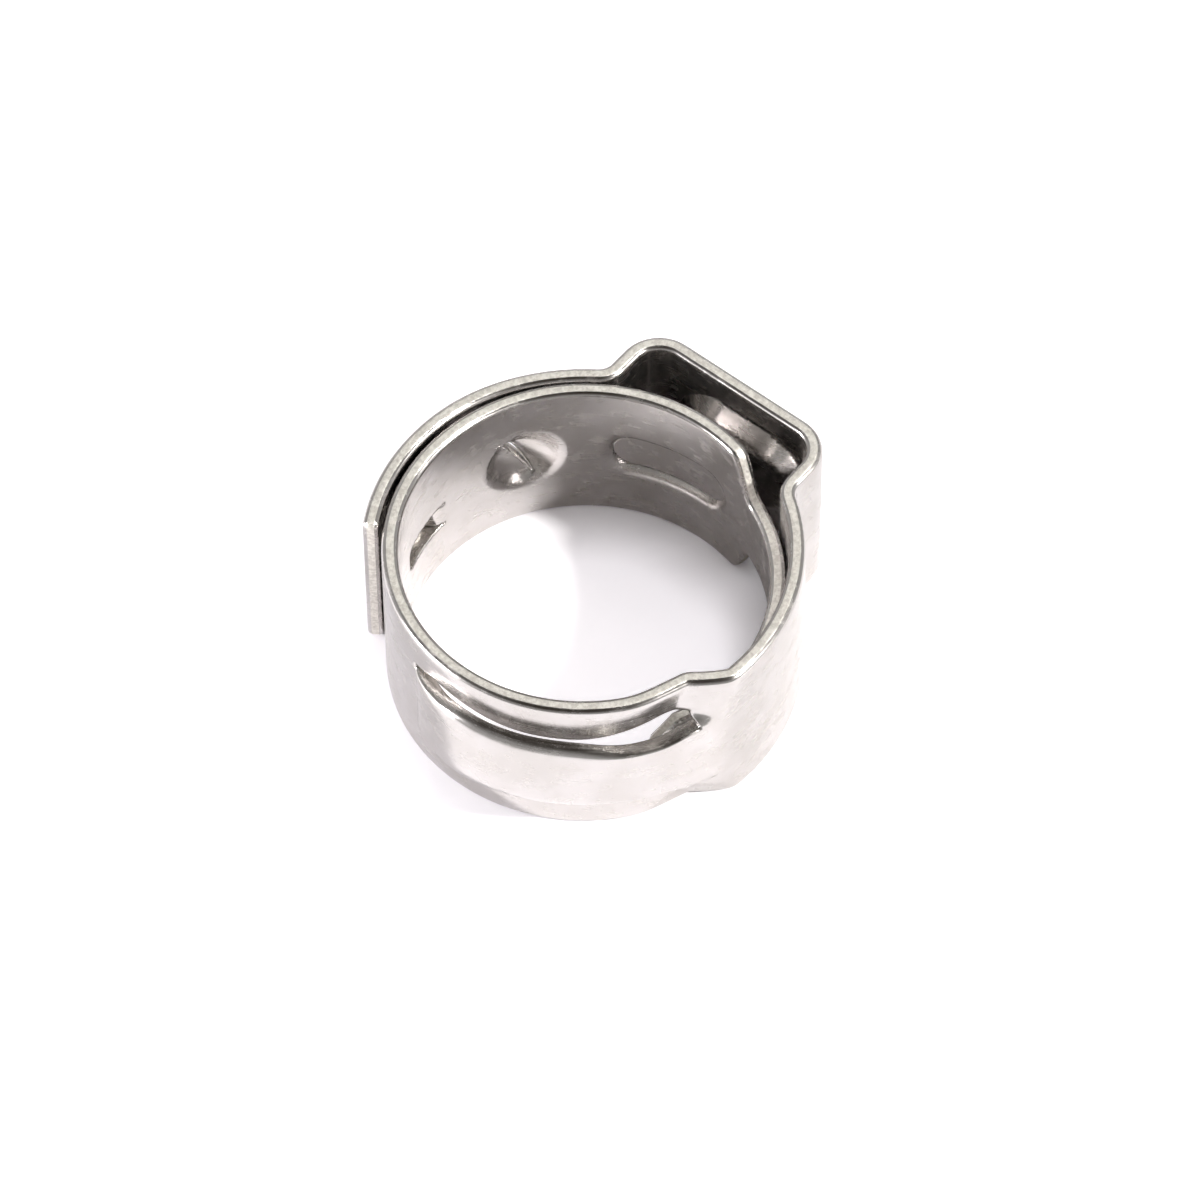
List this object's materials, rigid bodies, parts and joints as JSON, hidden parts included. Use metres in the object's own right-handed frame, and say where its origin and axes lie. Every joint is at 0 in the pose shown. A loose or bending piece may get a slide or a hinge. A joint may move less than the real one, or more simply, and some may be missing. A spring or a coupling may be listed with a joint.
{
  "type": "ear hose clamp",
  "caption": "Stepless ear hose clamp: a stainless band with one pinch ear, a sliding tongue in a slotted channel, and a hooked overlap, shown open.",
  "frame": {"origin": "on the axis of the hose bore, at the middle of the band's width", "axes": "+Z runs along the hose axis, square to the band's edges; +Y points from the axis through the middle of the ear; +X points towards the foot of the ear that the tongue passes under"},
  "size_m": [0.0158, 0.0172, 0.007],
  "materials": {
    "band": "satin rolled stainless strip with brighter rolled edges"
  },
  "bodies": {
    "root": {"clamp_band": "band"}
  },
  "joints": []
}
